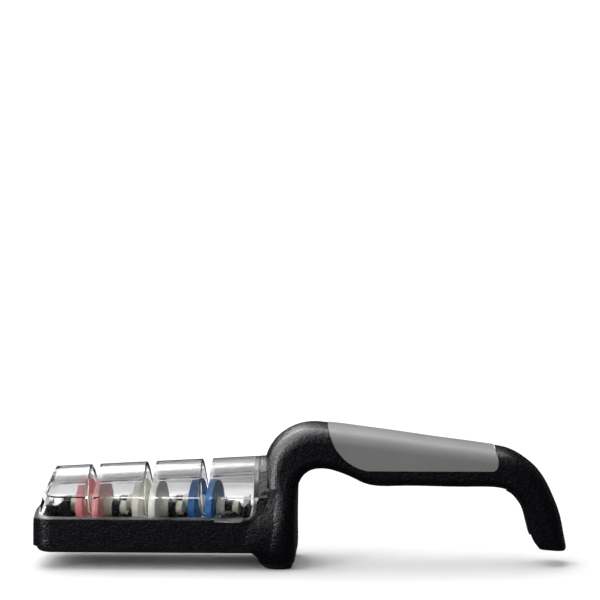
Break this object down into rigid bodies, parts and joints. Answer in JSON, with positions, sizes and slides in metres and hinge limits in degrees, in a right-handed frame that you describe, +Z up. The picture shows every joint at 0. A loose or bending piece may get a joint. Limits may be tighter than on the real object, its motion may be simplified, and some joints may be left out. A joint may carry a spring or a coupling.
{
  "type": "pull through knife sharpener",
  "caption": "Pull-through knife sharpener: low water tank with paired skewed ceramic wheels under a clear arched slotted lid, and a long bent handle.",
  "frame": {"origin": "under the middle of the overall length, at the face of the heel pad", "axes": "+X along the length towards the leg of the handle, +Y across it, away from the user, +Z up"},
  "size_m": [0.2375, 0.0494, 0.0636],
  "materials": {
    "body_black": "fine spark-eroded grain, satin sheen",
    "cover_black": "smooth satin",
    "grip_grey": "smooth satin",
    "sole_rubber": "matt",
    "pad_rubber": "matt",
    "lid_clear": "clear, polished",
    "carrier_black": "semi-gloss",
    "ceramic_coral": "fine matt grit",
    "ceramic_white": "fine matt grit",
    "ceramic_blue": "fine matt grit",
    "hub_cream": "moulded, slight sheen"
  },
  "bodies": {
    "base": {"body_shell": "body_black", "handle_under_cover": "cover_black", "grip_inlay": "grip_grey", "base_sole": "sole_rubber", "heel_pad": "pad_rubber"},
    "lid": {"lid": "lid_clear"},
    "carrier": {"wheel_carrier": "carrier_black"},
    "wheel_set_coarse_near": {"wheel_coarse_near": "ceramic_coral", "axle_coarse_near": "hub_cream", "axle_cap_coarse_near": "hub_cream"},
    "wheel_set_coarse_far": {"wheel_coarse_far": "ceramic_coral", "axle_coarse_far": "hub_cream", "axle_cap_coarse_far": "hub_cream"},
    "wheel_set_medium_near": {"wheel_medium_near": "ceramic_white", "axle_medium_near": "hub_cream", "axle_cap_medium_near": "hub_cream"},
    "wheel_set_medium_far": {"wheel_medium_far": "ceramic_white", "axle_medium_far": "hub_cream", "axle_cap_medium_far": "hub_cream"},
    "wheel_set_fine_near": {"wheel_fine_near": "ceramic_blue", "axle_fine_near": "hub_cream", "axle_cap_fine_near": "hub_cream"},
    "wheel_set_fine_far": {"wheel_fine_far": "ceramic_blue", "axle_fine_far": "hub_cream", "axle_cap_fine_far": "hub_cream"}
  },
  "joints": [
    {"name": "lid_lift", "type": "slide", "parent": "base", "child": "lid", "axis": [0, 0, 1], "range_m": [0, 0.06]},
    {"name": "carrier_lift", "type": "slide", "parent": "base", "child": "carrier", "axis": [0, 0, 1], "range_m": [0, 0.03]},
    {"name": "spin_coarse_near", "type": "hinge", "parent": "carrier", "child": "wheel_set_coarse_near", "pos_m": [-0.08875, -0.004, 0.0253], "axis": [0.9816, -0.1908, 0], "continuous": true},
    {"name": "spin_coarse_far", "type": "hinge", "parent": "carrier", "child": "wheel_set_coarse_far", "pos_m": [-0.09695, 0.004, 0.0253], "axis": [0.9816, -0.1908, 0], "continuous": true},
    {"name": "spin_medium_near", "type": "hinge", "parent": "carrier", "child": "wheel_set_medium_near", "pos_m": [-0.06355, -0.004, 0.0253], "axis": [0.9816, -0.1908, 0], "continuous": true},
    {"name": "spin_medium_far", "type": "hinge", "parent": "carrier", "child": "wheel_set_medium_far", "pos_m": [-0.07175, 0.004, 0.0253], "axis": [0.9816, -0.1908, 0], "continuous": true},
    {"name": "spin_fine_near", "type": "hinge", "parent": "carrier", "child": "wheel_set_fine_near", "pos_m": [-0.03835, -0.004, 0.0253], "axis": [0.9816, -0.1908, 0], "continuous": true},
    {"name": "spin_fine_far", "type": "hinge", "parent": "carrier", "child": "wheel_set_fine_far", "pos_m": [-0.04655, 0.004, 0.0253], "axis": [0.9816, -0.1908, 0], "continuous": true}
  ],
  "couplings": [
    {"joint": "carrier_lift", "follows": "lid_lift", "ratio": 0.5}
  ]
}
